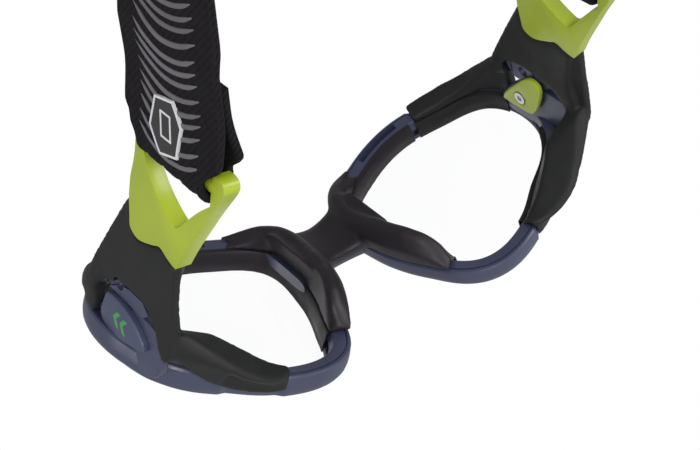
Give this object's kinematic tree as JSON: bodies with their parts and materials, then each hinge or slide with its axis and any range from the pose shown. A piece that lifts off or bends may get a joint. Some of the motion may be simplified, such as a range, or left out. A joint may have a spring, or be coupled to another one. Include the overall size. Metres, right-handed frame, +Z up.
{
  "type": "sports goggles",
  "caption": "Wrap-around protective sports goggles with clear lenses, rubber nose saddle and side pads, strap loops on the arms and an adjustable elastic head strap",
  "frame": {"origin": "on the mirror plane at lens-centre height, where the nose saddle sits over the bridge", "axes": "+X to the wearer's left, +Y to the back along the strap, -Y out of the lenses, +Z up to the brow"},
  "size_m": [0.1296, 0.1753, 0.0662],
  "materials": {
    "navy_plastic": "semi-gloss moulded",
    "navy_badge": "semi-gloss moulded",
    "clear_lens": "clear hard-coated polycarbonate",
    "nose_rubber": "satin soft rubber",
    "black_rubber": "matte over-moulded rubber",
    "lime_plastic": "satin moulded",
    "green_inlay": "matte inlay",
    "screw_steel": "plain",
    "insert_brass": "turned",
    "elastic_black": "woven elastic with raised silicone ribs",
    "thread_grey": "sewn polyester thread",
    "slide_black": "moulded acetal"
  },
  "bodies": {
    "goggles": {"front_frame": "navy_plastic", "lens_left": "clear_lens", "lens_right": "clear_lens", "nose_pad": "nose_rubber", "bridge_stud": "navy_plastic", "arm_core_left": "navy_plastic", "arm_core_right": "navy_plastic", "side_pad_left": "black_rubber", "side_pad_right": "black_rubber", "strap_loop_left": "lime_plastic", "strap_loop_right": "lime_plastic", "badge_cap_left": "navy_badge", "badge_cap_right": "navy_badge", "badge_emblem_left": "green_inlay", "badge_emblem_right": "green_inlay", "clamp_plate_left": "lime_plastic", "clamp_plate_right": "lime_plastic", "clamp_screw_left": "screw_steel", "clamp_screw_right": "screw_steel", "screw_insert_left": "insert_brass", "screw_insert_right": "insert_brass"},
    "strap_left": {"strap_run_left": "elastic_black", "bar_tack_left": "thread_grey"},
    "strap_right": {"strap_run_right": "elastic_black", "bar_tack_right": "thread_grey"},
    "strap_back": {"strap_rear": "elastic_black"},
    "slide": {"adjuster_slide": "slide_black", "strap_tail": "elastic_black"}
  },
  "joints": [
    {"name": "strap_swing", "type": "hinge", "parent": "goggles", "child": "strap_left", "pos_m": [0.04925, 0.06594, -0.0196], "axis": [0, 0, 1], "range_deg": [-25, 25]},
    {"name": "strap_swing_right", "type": "hinge", "parent": "goggles", "child": "strap_right", "pos_m": [-0.04925, 0.06594, -0.0196], "axis": [0, 0, 1], "range_deg": [-25, 25]},
    {"name": "strap_back_fold", "type": "hinge", "parent": "strap_left", "child": "strap_back", "pos_m": [0.04925, 0.13994, -0.0196], "axis": [0, 0, 1], "range_deg": [-25, 25]},
    {"name": "slide_travel", "type": "slide", "parent": "strap_back", "child": "slide", "axis": [1, 0, 0], "range_m": [-0.01, 0.01]}
  ],
  "couplings": [
    {"joint": "strap_swing_right", "follows": "strap_swing", "ratio": 1},
    {"joint": "strap_back_fold", "follows": "strap_swing", "ratio": -1}
  ]
}
